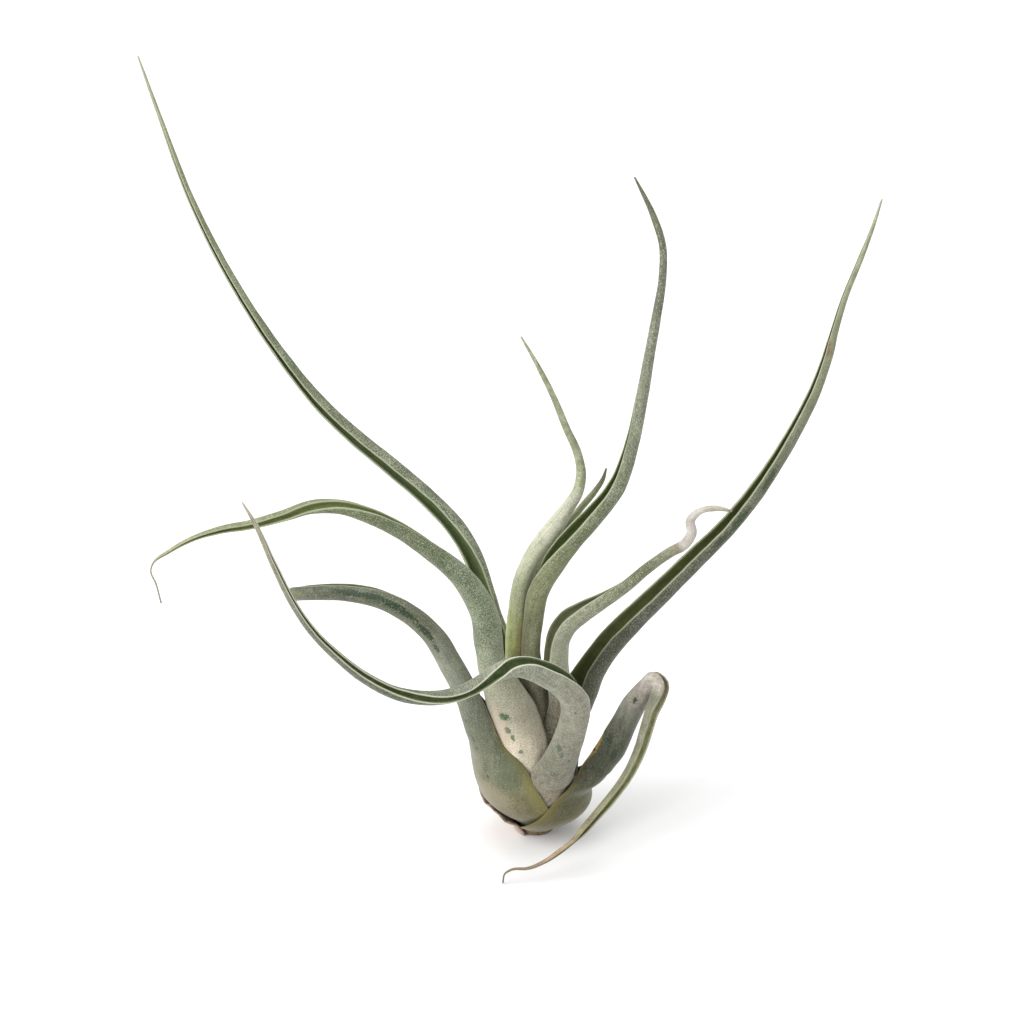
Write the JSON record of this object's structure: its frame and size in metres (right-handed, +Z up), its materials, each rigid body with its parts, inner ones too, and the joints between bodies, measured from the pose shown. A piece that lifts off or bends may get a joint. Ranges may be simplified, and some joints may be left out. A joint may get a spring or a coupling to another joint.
{
  "type": "tillandsia caput-medusae",
  "caption": "Air plant with long channelled silver-green leaves that snake out of a bulb of wrapped leaf sheaths, resting on its cut stem.",
  "frame": {"origin": "middle of the cut stem's flat underside, on the surface that the plant rests on", "axes": "+Z up, +X to the right of the pictured front, +Y away from it"},
  "size_m": [0.2527, 0.1606, 0.2491],
  "materials": {
    "leaf_inner_tip": "matt olive-green leaf",
    "leaf_centre_short": "matt pale silver-green leaf with fine scurf",
    "leaf_centre_tall": "matt green leaf with white scurf",
    "leaf_long_left": "matt green leaf with silver scurf",
    "leaf_curl_tip": "matt pale silver-green leaf, papery at its tip",
    "leaf_left_arching": "matt grey-green leaf with white scurf",
    "leaf_long_right": "matt dark green leaf with grey scurf",
    "leaf_front_loop": "matt pale silver-grey leaf with fine scurf",
    "leaf_thick_left": "matt dark grey-green leaf with rub marks",
    "leaf_right_folded": "matt grey-green leaf, dry and brown at its tip",
    "stem": "rough brown stem",
    "dry_sheath": "dead papery brown sheath"
  },
  "bodies": {
    "root": {"leaf_inner_tip": "leaf_inner_tip", "leaf_centre_short": "leaf_centre_short", "leaf_centre_tall": "leaf_centre_tall", "leaf_long_left": "leaf_long_left", "leaf_curl_tip": "leaf_curl_tip", "leaf_left_arching": "leaf_left_arching", "leaf_long_right": "leaf_long_right", "leaf_front_loop": "leaf_front_loop", "leaf_thick_left": "leaf_thick_left", "leaf_right_folded": "leaf_right_folded", "stem": "stem", "dry_sheath": "dry_sheath"}
  },
  "joints": []
}
